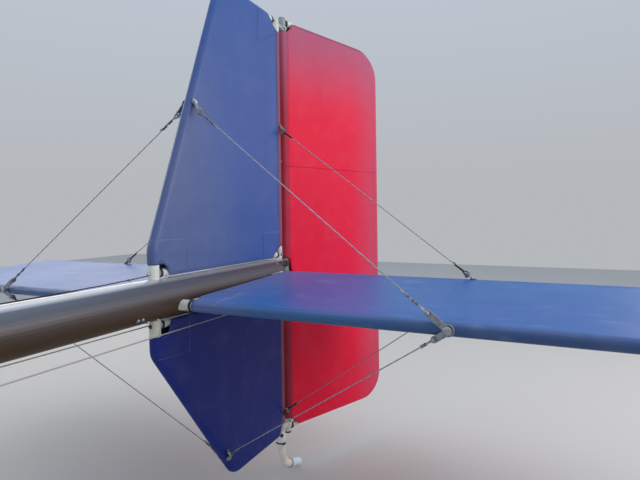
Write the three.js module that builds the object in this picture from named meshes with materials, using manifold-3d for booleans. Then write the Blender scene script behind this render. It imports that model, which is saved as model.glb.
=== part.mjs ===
// Wire-braced tail unit of an ultralight aircraft: tail boom, fins, rudder, stabilisers and elevators.
// Millimetres. +X forward, +Y port, +Z up. The origin is the middle of the boom joint's front face.
import * as THREE from 'three';
import { mergeVertices } from 'three/addons/utils/BufferGeometryUtils.js';
import Module from 'manifold-3d';

const wasm = await Module();
wasm.setup();

// Distances called "ahead" are measured forward from the rudder's hinge line.
const hingeAhead = 1200;          // the boom joint's face
const fit = 0.3;                  // gap between pieces that touch
const clothFit = 0.6;             // gap between a band and the rolled cloth in it
const turnFit = 0.8;              // gap round a tube that turns in a ring
const far = 1400;                 // longer than any piece, for cutting

const boom = { radius: 50.8, endAhead: 95, capThick: 4, sides: 48 };
const joint = { length: 90, shown: 60, radius: 48 };
const tubeRadius = 12.7;          // frame tubes, one inch across
const footRadius = 14.3;          // the fins' leading-edge tubes, where they stand on the boom
const footAhead = 653;
const rollRadius = 14.2;          // cloth rolled round a frame tube
const trailRadius = 9;            // cloth rolled round a trailing edge
const rootTube = { height: 65, rear: 60, front: 638, radius: 11 };
const postAhead = 47;             // the fins' rear posts
const postFoot = 53;
const spanHalf = 1185;
const stabRootY = 56;
const spar = { ahead: 115, z: 0 };
const wingNose = { rootAhead: 605, tipAhead: 549, rootZ: -18, tipZ: -31, rootY: 84, socketRadius: 13.8 };
const elevator = { ahead: 68, z: -10, chord: 372, droopDeg: 25, rootY: 100, rootTrailY: 225 };
const rudder = {
  topChord: 502, bottomChord: 520, portDeg: 22.5, top: 903, bottom: -593,
  tubeTop: 911, tubeBottom: -607,
};
const stayRadius = 1.6;
const stayGap = 0.8;              // between a stay's end and its ear
const stayAt = { wingFrontY: 700, wingRearY: 683 };
const ear = { width: 14, thick: 2.4 };

const paint = {
  boom: ['#5f5c62', 0.42, 0.55],
  cap: ['#26262a', 0.6, 0],
  tube: ['#c9ccce', 0.4, 0.3],
  navyCloth: ['#34429a', 0.75, 0],
  blueCloth: ['#2f5cae', 0.75, 0],
  redCloth: ['#d8203c', 0.7, 0],
  plastic: ['#dcdcd4', 0.5, 0],
  steel: ['#8d9196', 0.35, 0.9],
};

const vec = (x, y, z) => new THREE.Vector3(x, y, z);
const rad = THREE.MathUtils.degToRad;
const xAt = (ahead) => ahead - hingeAhead;

function solidOf(geometry) {
  let bare = geometry.index ? geometry.toNonIndexed() : geometry.clone();
  bare.deleteAttribute('normal');
  bare.deleteAttribute('uv');
  bare = mergeVertices(bare, 1e-4);
  const mesh = new wasm.Mesh({
    numProp: 3,
    vertProperties: new Float32Array(bare.attributes.position.array),
    triVerts: new Uint32Array(bare.index.array),
  });
  return new wasm.Manifold(mesh);
}

function geometryOf(solid) {
  const mesh = solid.getMesh();
  const geometry = new THREE.BufferGeometry();
  const points = new Float32Array(mesh.vertProperties);
  geometry.setAttribute('position', new THREE.BufferAttribute(points, 3));
  geometry.setIndex(new THREE.BufferAttribute(new Uint32Array(mesh.triVerts), 1));
  return geometry;
}

function combine(first, { add = [], cut = [] }) {
  let solid = solidOf(first);
  for (const geometry of add) solid = solid.add(solidOf(geometry));
  for (const geometry of cut) solid = solid.subtract(solidOf(geometry));
  return geometryOf(solid);
}

// A rod between two points
function rod(from, to, radius, sides = 24) {
  const along = to.clone().sub(from);
  const geometry = new THREE.CylinderGeometry(radius, radius, along.length(), sides);
  const turn = new THREE.Quaternion().setFromUnitVectors(vec(0, 1, 0), along.clone().normalize());
  geometry.applyQuaternion(turn);
  const middle = from.clone().add(to).multiplyScalar(0.5);
  return geometry.translate(middle.x, middle.y, middle.z);
}

// Rods along x, y and z
const lengthwise = (from, to, z, radius, sides) => (
  rod(vec(xAt(from), 0, z), vec(xAt(to), 0, z), radius, sides));
const crosswise = (y0, y1, radius) => rod(vec(0, y0, 0), vec(0, y1, 0), radius);
const upright = (z0, z1, radius) => rod(vec(0, 0, z0), vec(0, 0, z1), radius);

function block(x0, x1, y0, y1, z0, z1) {
  const geometry = new THREE.BoxGeometry(x1 - x0, y1 - y0, z1 - z0);
  return geometry.translate((x0 + x1) / 2, (y0 + y1) / 2, (z0 + z1) / 2);
}

// A flat strap from one point to another, its broad side facing the given way
function strap(from, to, width, thick, facing) {
  const along = to.clone().sub(from);
  const length = along.length();
  along.normalize();
  const across = new THREE.Vector3().crossVectors(facing, along).normalize();
  const normal = new THREE.Vector3().crossVectors(along, across);
  const middle = from.clone().add(to).multiplyScalar(0.5);
  const place = new THREE.Matrix4().makeBasis(along, across, normal).setPosition(middle);
  return new THREE.BoxGeometry(length, width, thick).applyMatrix4(place);
}

// The point at a distance from one point towards another
const towards = (from, to, distance) => (
  from.clone().addScaledVector(to.clone().sub(from).normalize(), distance));

// Corners are [u, v, fillet radius]; an arc's points replace each corner that has a radius
function cornerPoints([u, v, radius], before, after) {
  const here = new THREE.Vector2(u, v);
  if (!radius) return [here];
  const back = new THREE.Vector2(before[0], before[1]).sub(here).normalize();
  const on = new THREE.Vector2(after[0], after[1]).sub(here).normalize();
  const half = Math.acos(THREE.MathUtils.clamp(back.dot(on), -1, 1)) / 2;
  const reach = radius / Math.tan(half);
  const centre = back.clone().add(on).normalize().multiplyScalar(radius / Math.sin(half)).add(here);
  const start = here.clone().addScaledVector(back, reach).sub(centre).angle();
  const end = here.clone().addScaledVector(on, reach).sub(centre).angle();
  let sweep = end - start;
  if (sweep > Math.PI) sweep -= 2 * Math.PI;
  if (sweep < -Math.PI) sweep += 2 * Math.PI;
  const steps = Math.max(2, Math.ceil(Math.abs(sweep) / rad(12)));
  return Array.from({ length: steps + 1 }, (_, k) => {
    const angle = start + (sweep * k) / steps;
    return new THREE.Vector2(Math.cos(angle), Math.sin(angle)).multiplyScalar(radius).add(centre);
  });
}

function filleted(corners) {
  const count = corners.length;
  return corners.flatMap((corner, i) => (
    cornerPoints(corner, corners[(i + count - 1) % count], corners[(i + 1) % count])));
}

// A cloth-covered panel: flat sides, edges rolled round, lying in its own u-v plane
function panel(corners, radius) {
  const web = 0.4;
  const geometry = new THREE.ExtrudeGeometry(new THREE.Shape(filleted(corners)), {
    depth: web,
    bevelThickness: radius - web / 2,
    bevelSize: radius,
    bevelOffset: -radius,
    bevelSegments: 4,
    curveSegments: 1,
  });
  return geometry.translate(0, 0, -web / 2);
}

// Thins a panel: its thickness goes from full at u0 to the given share at u1
function thinned(geometry, u0, u1, share) {
  const position = geometry.attributes.position;
  for (let i = 0; i < position.count; i += 1) {
    const t = THREE.MathUtils.clamp((position.getX(i) - u0) / (u1 - u0), 0, 1);
    position.setZ(i, position.getZ(i) * (1 - t * (1 - share)));
  }
  return geometry;
}

const part = new THREE.Group();
const rudderGroup = new THREE.Group();
rudderGroup.position.set(xAt(0), 0, 0);
rudderGroup.rotation.z = -rad(rudder.portDeg);
const elevatorGroup = new THREE.Group();
elevatorGroup.position.set(xAt(elevator.ahead), 0, elevator.z);
elevatorGroup.rotation.y = -rad(elevator.droopDeg);
part.add(rudderGroup, elevatorGroup);

function piece(name, geometry, finish, group = part) {
  const [color, roughness, metalness] = paint[finish];
  const mesh = new THREE.Mesh(geometry, new THREE.MeshStandardMaterial({ color, roughness, metalness }));
  mesh.name = name;
  group.add(mesh);
}

// Boom: a tube closed by the joint spigot in front and a cap behind, with the rear spar through it
const jointRearAhead = hingeAhead - joint.length;
const boomTube = lengthwise(boom.endAhead, hingeAhead - joint.shown, 0, boom.radius, boom.sides);
const spigotSeat = lengthwise(jointRearAhead - fit, hingeAhead, 0, joint.radius + fit, boom.sides);
const sparHole = crosswise(-far, far, tubeRadius + fit).translate(xAt(spar.ahead), 0, spar.z);
const capFront = boom.endAhead - fit;
piece('boom', combine(boomTube, { cut: [sparHole, spigotSeat] }), 'boom');
piece('boom_joint_spigot', lengthwise(jointRearAhead, hingeAhead, 0, joint.radius, boom.sides), 'tube');
piece('boom_end_cap', lengthwise(capFront - boom.capThick, capFront, 0, boom.radius - 1, boom.sides), 'cap');

// Upper fin and ventral fin share one plan: a foot, a root tube, a rear post and the cloth cover.
// Outlines are rows of [ahead, height, fillet], the height counted away from the boom.
// The straight leading edge runs from low to high. The tip cut bares the post for the hinge,
// the heel cut bares its foot and the root tube's end.
const fins = {
  upper_fin: {
    up: 1, postTip: 884, low: [667, 127, 60], high: [371, 892, 45], tangHeight: 509,
    root: [[47, 47, 0], [612, 47, 0], [634, 86, 0], [667, 86, 0]],
    tipCut: [[128, 900], [64, 847], [20, 847], [20, 920], [128, 920]],
  },
  ventral_fin: {
    up: -1, postTip: 606, low: [667, 143, 60], high: [354, 596, 62], tangHeight: 522,
    root: [[47, 47, 0], [612, 47, 0], [634, 92, 0], [667, 92, 0]],
    tipCut: [[92, 606], [66, 556], [20, 556], [20, 640], [92, 640]],
  },
};
const heelCut = [[20, 40], [106, 40], [106, 62], [60, 98], [20, 98]];
const finHole = [611, 632, 19];    // round the root tube's front end: rear, front and radius
const tangPin = 4;                 // bolts through the leading edges carry the front tangs
const finHalfWidth = 30;
const skinHeight = 56;            // cloth is open under the root tube up to here
const boomSkin = lengthwise(0, hingeAhead, 0, boom.radius + fit, boom.sides);

// A prism right through a fin, from rows of [ahead, height]
function throughFin(rows, up) {
  const shape = new THREE.Shape(rows.map(([ahead, z]) => new THREE.Vector2(xAt(ahead), up * z)));
  const slab = new THREE.ExtrudeGeometry(shape, { depth: 2 * finHalfWidth, bevelEnabled: false });
  return slab.translate(0, 0, -finHalfWidth).rotateX(Math.PI / 2);
}

for (const [name, fin] of Object.entries(fins)) {
  const { up, postTip, low, high, root, tipCut, tangHeight } = fin;
  const outline = [...root, low, high, [postAhead, high[1], 0]];
  const place = outline.map(([ahead, height, fillet]) => [xAt(ahead), up * height, fillet]);
  const height = up * rootTube.height;
  const postRod = (end, radius) => upright(up * postFoot, end, radius).translate(xAt(postAhead), 0, 0);
  const [holeRear, holeFront, holeRadius] = finHole;
  const nose = finNose(fin, tangHeight);
  const [skin0, skin1] = [0, up * skinHeight].sort((a, b) => a - b);
  const cover = combine(panel(place, rollRadius).rotateX(Math.PI / 2), {
    cut: [
      throughFin(tipCut, up),
      throughFin(heelCut, up),
      lengthwise(0, far, height, rootTube.radius + fit),
      postRod(up * far, tubeRadius + fit),
      block(xAt(0), xAt(far), -finHalfWidth, finHalfWidth, skin0, skin1),
      block(xAt(0), xAt(postAhead + tubeRadius + fit), -finHalfWidth, finHalfWidth, -far, far),
      lengthwise(holeRear, holeFront, height, holeRadius),
      crosswise(-finHalfWidth, finHalfWidth, tangPin + fit).translate(nose.x, 0, nose.z),
    ],
  });
  piece(`${name}_cover`, cover, 'navyCloth');
  const foot = upright(up * (boom.radius - 12), up * (root[3][1] - fit), footRadius);
  piece(`${name}_foot`, combine(foot.translate(xAt(footAhead), 0, 0), { cut: [boomSkin] }), 'tube');
  piece(`${name}_root_tube`, lengthwise(rootTube.rear, rootTube.front, height, rootTube.radius), 'tube');
  piece(`${name}_post`, postRod(up * postTip, tubeRadius), 'tube');
}

// Stabilisers: one plan for both sides, rows of [ahead, y, fillet], the nose lower than the spar
const wingRear = spar.ahead - rollRadius;
const wingCorners = [
  [wingRear, stabRootY, 0], [530, stabRootY, 0], [588, wingNose.rootY, 0],
  [wingNose.rootAhead + rollRadius, wingNose.rootY, 0],
  [wingNose.tipAhead + rollRadius, spanHalf, 80], [wingRear, spanHalf, 30],
];

// The leading edge's centre line at a given y
function noseAt(y) {
  const share = (Math.abs(y) - wingNose.rootY) / (spanHalf - wingNose.rootY);
  const ahead = THREE.MathUtils.lerp(wingNose.rootAhead, wingNose.tipAhead, share);
  return vec(xAt(ahead), y, THREE.MathUtils.lerp(wingNose.rootZ, wingNose.tipZ, share));
}

// Slopes a flat panel down from the spar to the leading edge
function sloped(geometry) {
  const position = geometry.attributes.position;
  for (let i = 0; i < position.count; i += 1) {
    const nose = noseAt(position.getY(i));
    const share = (position.getX(i) - xAt(spar.ahead)) / (nose.x - xAt(spar.ahead));
    position.setZ(i, position.getZ(i) + spar.z + share * (nose.z - spar.z));
  }
  return geometry;
}

const wings = [['port', 1], ['starboard', -1]];
for (const [side, out] of wings) {
  const plan = wingCorners.map(([ahead, y, fillet]) => [xAt(ahead), out * y, fillet]);
  piece(`stabiliser_cover_${side}`, sloped(panel(plan, rollRadius)), 'blueCloth');

  const socket = rod(noseAt(0), noseAt(out * (wingNose.rootY - 1)), wingNose.socketRadius);
  piece(`leading_edge_socket_${side}`, combine(socket, { cut: [boomSkin] }), 'plastic');
}
const sparTube = crosswise(-stabRootY + fit, stabRootY - fit, tubeRadius);
piece('stabiliser_rear_spar', sparTube.translate(xAt(spar.ahead), 0, spar.z), 'tube');

// Rudder, in its own frame with the hinge line as z. Rows of [aft, height, fillet].
const rudderCorners = [
  [-rollRadius, rudder.bottom, 0], [rudder.bottomChord, rudder.bottom, 105],
  [rudder.topChord, rudder.top - 21, 120], [-rollRadius, rudder.top, 0],
];
const taper = { from: 40, to: 20, share: trailRadius / rollRadius };
const thinnedAft = (slab, chord) => thinned(slab, taper.from, chord - taper.to, taper.share);
const rudderSlab = thinnedAft(panel(rudderCorners, rollRadius), rudder.topChord);
const rudderBore = upright(-far, far, tubeRadius + fit);
const notchHalf = 30;             // cloth cut away round a tube at its hinges
// The rudder's notches at the boom, the top and the bottom, as outlines of [aft, height]
const rudderNotches = [
  [[-30, -96], [30, -96], [30, -20], [21, 8], [21, 50], [-30, 50]],
  [[-30, 862], [18, 862], [42, 905], [42, 960], [-30, 960]],
  [[-30, -550], [22, -550], [36, -598], [36, -650], [-30, -650]],
];
const tubeEnds = { top: { z: 894, aft: 41.7, radius: 10.5 }, bottom: { z: -586, aft: 38.7, radius: 9 } };
const tubeEndGap = 4;
const rudderCuts = rudderNotches.map((rows) => {
  const shape = new THREE.Shape(rows.map(([aft, z]) => new THREE.Vector2(-aft, z)));
  const slab = new THREE.ExtrudeGeometry(shape, { depth: 2 * notchHalf, bevelEnabled: false });
  return slab.translate(0, 0, -notchHalf).rotateX(Math.PI / 2);
});
const endRod = ({ z, aft, radius }, room) => (
  rod(vec(-tubeRadius - tubeEndGap, 0, z), vec(-aft - room, 0, z), radius + room));
const endBores = Object.values(tubeEnds).map((end) => endRod(end, fit));
rudderSlab.rotateX(Math.PI / 2).rotateZ(Math.PI);
const rudderCover = combine(rudderSlab, { cut: [...rudderCuts, ...endBores, rudderBore] });
piece('rudder_cover', rudderCover, 'redCloth', rudderGroup);
piece('rudder_tube', upright(rudder.tubeBottom, rudder.tubeTop, tubeRadius), 'tube', rudderGroup);
for (const [name, end] of Object.entries(tubeEnds)) {
  piece(`rudder_${name}_tube_end`, endRod(end, 0), 'plastic', rudderGroup);
}

// Rudder hinges: arms on the posts and on the boom's end carry a ring round the rudder tube
const hingeRings = [
  { name: 'top', z: 868, height: 12, armAhead: postAhead },
  { name: 'bottom', z: -580, height: 24, armAhead: postAhead },
  { name: 'boom', z: 22, height: 16, armAhead: capFront - boom.capThick - fit },
];
const ringRadius = 16;
const armHalf = 9;
const postSkin = upright(-far, far, tubeRadius + fit).translate(postAhead, 0, 0);
for (const { name, z, height, armAhead } of hingeRings) {
  const arm = block(0, armAhead, -armHalf, armHalf, z, z + height);
  const cut = [upright(-far, far, tubeRadius + turnFit)];
  if (armAhead === postAhead) cut.push(postSkin);
  const ring = combine(upright(z, z + height, ringRadius), { add: [arm], cut });
  piece(`rudder_hinge_${name}`, ring.translate(xAt(0), 0, 0), 'plastic');
}

// Rudder horn: a flat bar across the rudder tube with a ring round it
const horn = { z: -81, reach: 62, thick: 4 };
const [hornLow, hornHigh] = [horn.z - horn.thick / 2, horn.z + horn.thick / 2];
const hornBar = block(-armHalf, armHalf, -horn.reach, horn.reach, hornLow, hornHigh);
const hornRing = upright(hornLow, hornHigh, ringRadius);
piece('rudder_horn', combine(hornRing, { add: [hornBar], cut: [rudderBore] }), 'tube', rudderGroup);

// Elevators: one tube carries both halves. In their frame x runs forward from the tube, y to port.
const flapHinge = { width: 10, ringRadius: 18, armZ: 8, notchGap: 6 };
const flapStations = [['root', 84], ['middle', 600], ['tip', 1168]];
const sparOff = [spar.ahead - elevator.ahead, 0, spar.z - elevator.z];
piece('elevator_tube', crosswise(-spanHalf, spanHalf, tubeRadius), 'tube', elevatorGroup);
for (const [side, out] of wings) {
  const plan = [
    [-rollRadius, elevator.rootY, 0], [26, elevator.rootY, 0], [elevator.chord, elevator.rootTrailY, 30],
    [elevator.chord, spanHalf, 70], [-rollRadius, spanHalf, 0],
  ].map(([aft, y, fillet]) => [aft, -out * y, fillet]);
  const slab = thinnedAft(panel(plan, rollRadius), elevator.chord).rotateZ(Math.PI);
  const half = flapHinge.width / 2;
  const notches = [crosswise(-far, far, tubeRadius + fit)];
  for (const [name, y] of flapStations) {
    const outer = name === 'tip' ? far : y + half + flapHinge.notchGap;
    const [y0, y1] = [out * (y - half - flapHinge.notchGap), out * outer].sort((a, b) => a - b);
    notches.push(block(-notchHalf, notchHalf, y0, y1, -notchHalf, notchHalf));

    const ring = crosswise(out * y - half, out * y + half, flapHinge.ringRadius);
    const arm = block(0, sparOff[0], out * y - half, out * y + half, -flapHinge.armZ, flapHinge.armZ);
    const bore = crosswise(-far, far, tubeRadius + turnFit);
    const sparSkin = crosswise(-far, far, rollRadius + clothFit).translate(...sparOff);
    const bracket = combine(ring, { add: [arm], cut: [bore, sparSkin] });
    piece(`elevator_hinge_${name}_${side}`, bracket.translate(xAt(elevator.ahead), 0, elevator.z), 'plastic');
  }
  piece(`elevator_cover_${side}`, combine(slab, { cut: notches }), 'blueCloth', elevatorGroup);
}

// Elevator horn: an arm hanging from the elevator tube beside the boom
const flapHorn = { y0: 60, y1: 64, reach: 80 };
const flapRing = crosswise(flapHorn.y0, flapHorn.y1, flapHinge.ringRadius);
const flapArm = block(-armHalf, armHalf, flapHorn.y0, flapHorn.y1, -flapHorn.reach, 0);
const flapBore = crosswise(0, far, tubeRadius + fit);
piece('elevator_horn', combine(flapRing, { add: [flapArm], cut: [flapBore] }), 'tube', elevatorGroup);

// Where a fin's leading edge, as the middle of its rolled cloth, passes a given height
function finNose({ up, low, high }, height) {
  const share = (height - low[1]) / (high[1] - low[1]);
  const slope = Math.atan2(low[0] - high[0], high[1] - low[1]);
  const ahead = low[0] + share * (high[0] - low[0]) - rollRadius / Math.cos(slope);
  return vec(xAt(ahead), 0, up * height);
}

// Stays: each fin has a tang bolted through its leading edge and one round its post, with an ear to
// each side. The reaches are the ears' lengths at the fin and at the wing.
const bandHalf = 8;
const bandReach = 60;             // how far a band's mouth is cut
const tangWall = 2.4;
const tangWasher = 9;
const earRoot = 1;                // how far an ear reaches into what carries it
const boltHead = { from: rollRadius + clothFit, to: rollRadius + 11, radius: 9 };
const { upper_fin: upperFin, ventral_fin: ventralFin } = fins;
const stayRows = [
  { name: 'upper_front', fin: upperFin, height: upperFin.tangHeight, wing: 'front', reaches: [52, 57] },
  { name: 'upper_rear', fin: upperFin, height: 520, wing: 'rear', reaches: [40, 26] },
  { name: 'lower_front', fin: ventralFin, height: ventralFin.tangHeight, wing: 'front', reaches: [40, 42] },
  { name: 'lower_rear', fin: ventralFin, height: 521, wing: 'rear', reaches: [40, 26] },
];
const wingEnds = {
  front: (out, up) => noseAt(out * stayAt.wingFrontY).add(vec(rollRadius + 6.5, 0, 2 * up)),
  rear: (out, up) => vec(xAt(spar.ahead), out * stayAt.wingRearY, spar.z + up * (rollRadius + 2.5)),
};
const wingEars = { port: { front: [], rear: [] }, starboard: { front: [], rear: [] } };

// A bolt through a leading edge with a washer at each end
function throughBolt(inner, outer) {
  const washers = [crosswise(inner, outer, tangWasher), crosswise(-outer, -inner, tangWasher)];
  return combine(crosswise(-outer, outer, tangPin), { add: washers });
}

// A band round the back of a post, open to the front
function postBand(inner, outer) {
  const mouth = block(1, bandReach, -bandReach, bandReach, -bandReach, bandReach);
  const bore = upright(-bandReach, bandReach, inner);
  return combine(upright(-bandHalf, bandHalf, outer), { cut: [bore, mouth] });
}

for (const { name, fin, height, wing, reaches } of stayRows) {
  const front = wing === 'front';
  const middle = front ? finNose(fin, height) : vec(xAt(postAhead), 0, fin.up * height);
  const inner = front ? rollRadius + clothFit : tubeRadius + fit;
  const outer = inner + tangWall;
  const ears = [];
  for (const [side, out] of wings) {
    const wingEnd = wingEnds[wing](out, fin.up);
    const edge = middle.clone().add(vec(0, out * outer, 0));
    const eye = towards(middle, wingEnd, reaches[0]);
    const wingEye = towards(wingEnd, middle, reaches[1]);
    const along = eye.clone().sub(edge).normalize();
    const facing = front ? vec(0, along.z, -along.y) : vec(0, 0, 1);
    ears.push(strap(edge.addScaledVector(along, -earRoot), eye, ear.width, ear.thick, facing));
    wingEars[side][wing].push([wingEnd, wingEye]);
    const stayRod = rod(towards(eye, wingEye, stayGap), towards(wingEye, eye, stayGap), stayRadius, 8);
    piece(`stay_${name}_${side}`, stayRod, 'steel');
  }
  const hold = front ? throughBolt(inner, outer) : postBand(inner, outer);
  piece(`stay_tang_${name}`, combine(hold.translate(middle.x, 0, middle.z), { add: ears }), 'steel');
}

for (const [side, out] of wings) {
  const [front, rear] = [['front', vec(1, 0, 0)], ['rear', vec(0, 0, 1)]].map(([wing, facing]) => (
    wingEars[side][wing].map(([from, to]) => strap(from, to, ear.width, ear.thick, facing))));
  const head = noseAt(out * stayAt.wingFrontY);
  const onNose = (distance) => head.clone().add(vec(distance, 0, 0));
  const bolt = rod(onNose(boltHead.from), onNose(boltHead.to), boltHead.radius);
  piece(`stay_tang_front_${side}`, combine(bolt, { add: front }), 'steel');

  const inner = rollRadius + clothFit;
  const mouth = block(-2, bandReach, -bandReach, bandReach, -bandReach, bandReach);
  const outer = crosswise(-bandHalf, bandHalf, inner + tangWall);
  const band = combine(outer, { cut: [crosswise(-bandReach, bandReach, inner), mouth] });
  band.translate(xAt(spar.ahead), out * stayAt.wingRearY, spar.z);
  piece(`stay_tang_rear_${side}`, combine(band, { add: rear }), 'steel');
}

// Tail skid: a plastic pipe over the ventral post's end, bent aft, with a shoe of plain tube in its mouth.
// Route rows are [ahead, z].
const skid = { radius: 17.5, shoeRadius: 14, shoeLength: 74 };
const [skidTop, skidKnee, skidTurn, skidHeel, skidEnd] = [
  [47, -584], [54, -645], [48, -715], [12, -728], [-11, -736],
].map(([ahead, z]) => vec(xAt(ahead), 0, z));
const skidRoute = new THREE.CurvePath();
skidRoute.add(new THREE.LineCurve3(skidTop, skidKnee));
skidRoute.add(new THREE.QuadraticBezierCurve3(skidKnee, skidTurn, skidHeel));
skidRoute.add(new THREE.LineCurve3(skidHeel, skidEnd));
const pipe = new THREE.ExtrudeGeometry(new THREE.Shape().absarc(0, 0, skid.radius, 0, 2 * Math.PI), {
  steps: 16, curveSegments: 10, bevelEnabled: false, extrudePath: skidRoute,
});
const postEnd = -fins.ventral_fin.postTip;
const pipeSocket = upright(postEnd - fit, 0, tubeRadius + fit).translate(xAt(postAhead), 0, 0);
piece('skid_pipe', combine(pipe, { cut: [pipeSocket] }), 'plastic');
const shoeRun = skidEnd.clone().sub(skidHeel).normalize();
const shoeAt = (distance) => skidEnd.clone().addScaledVector(shoeRun, distance);
piece('skid_shoe', rod(shoeAt(fit), shoeAt(skid.shoeLength), skid.shoeRadius), 'tube');

export default part;
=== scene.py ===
import math

import bmesh
import bpy
import numpy as np
from mathutils import Matrix, Vector, noise
from mathutils.geometry import delaunay_2d_cdt


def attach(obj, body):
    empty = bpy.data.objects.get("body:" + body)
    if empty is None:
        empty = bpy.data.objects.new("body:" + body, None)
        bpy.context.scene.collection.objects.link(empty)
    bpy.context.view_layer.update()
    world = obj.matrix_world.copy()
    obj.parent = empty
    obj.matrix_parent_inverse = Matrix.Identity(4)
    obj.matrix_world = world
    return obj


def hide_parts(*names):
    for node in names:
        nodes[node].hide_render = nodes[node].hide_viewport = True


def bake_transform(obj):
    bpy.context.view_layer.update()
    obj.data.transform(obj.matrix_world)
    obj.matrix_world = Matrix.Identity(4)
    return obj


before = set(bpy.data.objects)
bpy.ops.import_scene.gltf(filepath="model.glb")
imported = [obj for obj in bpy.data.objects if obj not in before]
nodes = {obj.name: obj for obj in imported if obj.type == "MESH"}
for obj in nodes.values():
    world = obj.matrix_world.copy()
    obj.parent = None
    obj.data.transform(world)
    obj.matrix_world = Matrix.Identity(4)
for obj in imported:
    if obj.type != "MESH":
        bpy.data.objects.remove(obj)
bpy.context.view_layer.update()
scene = bpy.context.scene
print("frame loaded:", len(nodes), "nodes")

# Lengths are in millimetres in the CAD frame until a mesh is made: +X forward, +Y port, +Z up.
# "ahead" is counted forward from the rudder's hinge line, as in the CAD source.
mm = 0.001
forward, toPort, upward = (Vector(axis) for axis in ((1, 0, 0), (0, 1, 0), (0, 0, 1)))
sides = {"port": 1, "starboard": -1}
hingeX = -1200
tubeRadius = 12.7
rollRadius = 14.2        # the cloth's edge, rolled round its tube
postAhead = 47
sparAhead = 115
spanHalf = 1185
boomSurface = 50.4
elevatorAhead, elevatorZ = 68, -10
rudderRest, elevatorRest = math.radians(22.5), math.radians(25)


# Small tools
def linear(hexColour):
    parts = [int(hexColour[i:i + 2], 16) / 255 for i in (1, 3, 5)]
    return tuple(c / 12.92 if c <= 0.04045 else ((c + 0.055) / 1.055) ** 2.4 for c in parts) + (1.0,)


def at(ahead, y=0.0, z=0.0):
    return Vector((hingeX + ahead, y, z))


def onRudder(aft, height, out=0.0):
    along, across = math.cos(rudderRest), math.sin(rudderRest)
    return Vector((hingeX - aft * along + out * across, aft * across + out * along, height))


def onElevator(aft, y, out=0.0):
    along, down = math.cos(elevatorRest), math.sin(elevatorRest)
    return Vector((hingeX + elevatorAhead - aft * along - out * down, y, elevatorZ - aft * down + out * along))


def smooth(value, low, high):
    t = np.clip((value - low) / (high - low), 0, 1)
    return t * t * (3 - 2 * t)


def towards(start, end, distance):
    return start + (end - start).normalized() * distance


# Corners are [u, v] or [u, v, fillet radius]; an arc stands for each corner that has a radius
def filleted(corners, degrees=9):
    points = []
    for i, (u, v, *fillet) in enumerate(corners):
        here = Vector((u, v))
        if not fillet:
            points.append(here)
            continue
        radius = fillet[0]
        before = (Vector(corners[i - 1][:2]) - here).normalized()
        after = (Vector(corners[(i + 1) % len(corners)][:2]) - here).normalized()
        half = before.angle(after) / 2
        centre = here + (before + after).normalized() * radius / math.sin(half)
        first = here + before * radius / math.tan(half) - centre
        sweepAngle = first.angle_signed(here + after * radius / math.tan(half) - centre)
        steps = max(2, math.ceil(abs(sweepAngle) / math.radians(degrees)))
        for k in range(steps + 1):
            points.append(centre + Matrix.Rotation(-sweepAngle * k / steps, 2) @ first)
    return points


# Shapes: each is (points in mm, faces). These faces join rings of points, with caps unless the rings close.
def ringFaces(count, around, closed=False):
    faces = []
    for i in range(count if closed else count - 1):
        j = (i + 1) % count
        for k in range(around):
            m = (k + 1) % around
            faces.append((i * around + k, i * around + m, j * around + m, j * around + k))
    if not closed:
        faces += [tuple(reversed(range(around))), tuple(range((count - 1) * around, count * around))]
    return faces


def sweep(path, radius, around=12, closed=False, side=None):
    path = [Vector(p) for p in path]
    count = len(path)
    radii = radius if isinstance(radius, (list, tuple)) else [radius] * count
    points, lift = [], side
    for i, here in enumerate(path):
        ahead = path[(i + 1) % count] if closed or i < count - 1 else here
        behind = path[i - 1] if closed or i else here
        run = (ahead - behind).normalized()
        if lift is None:
            lift = run.orthogonal()
        lift = (Vector(lift) - run * run.dot(Vector(lift))).normalized()
        across = run.cross(lift)
        for k in range(around):
            angle = 2 * math.pi * k / around
            points.append(here + (lift * math.cos(angle) + across * math.sin(angle)) * radii[i])
    return points, ringFaces(count, around, closed)


# A turned shape: rows of [distance along the axis, radius], the wall closed on itself for a ring
def turned(rows, start, axis, around=28, ring=False):
    start, axis = Vector(start), Vector(axis).normalized()
    lift = axis.orthogonal().normalized()
    across = axis.cross(lift)
    points = []
    for distance, radius in rows:
        for k in range(around):
            angle = 2 * math.pi * k / around
            points.append(start + axis * distance
                          + (lift * math.cos(angle) + across * math.sin(angle)) * max(radius, 0.01))
    return points, ringFaces(len(rows), around, ring)


# A flat plate with eased edges, its outline in the plane of two axes
def plate(outline, thick, origin, uAxis, vAxis):
    ease, half = 0.5, thick / 2
    uAxis, vAxis = uAxis.normalized(), vAxis.normalized()
    normal = uAxis.cross(vAxis)
    flat = [Vector(p) for p in outline]
    middle = sum(flat, Vector((0, 0))) / len(flat)
    points = []
    for height, inset in ((-half, ease), (-half + ease, 0), (half - ease, 0), (half, ease)):
        for p in flat:
            q = p + (middle - p).normalized() * inset
            points.append(origin + uAxis * q.x + vAxis * q.y + normal * height)
    return points, ringFaces(4, len(flat))


# A map of a straight wire: its length, then the turn round it
def unwrapWire(piece, ends):
    run = (ends[1] - ends[0]).normalized()
    lift = run.orthogonal().normalized()
    across = run.cross(lift)
    mesh = piece.data
    mapped = mesh.uv_layers.new(name="wire")
    for face in mesh.polygons:
        turns = []
        for k in face.loop_indices:
            point = mesh.vertices[mesh.loops[k].vertex_index].co / mm - ends[0]
            turn = math.atan2(point.dot(across), point.dot(lift)) / (2 * math.pi)
            turns.append((k, point.dot(run) * mm, turn))
        high = max(t for _, _, t in turns)
        for k, length, t in turns:
            mapped.data[k].uv = (length, t + 1 if high - t > 0.5 else t)


def addObject(name, data):
    made = bpy.data.objects.new(name, data)
    scene.collection.objects.link(made)
    return made


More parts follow.
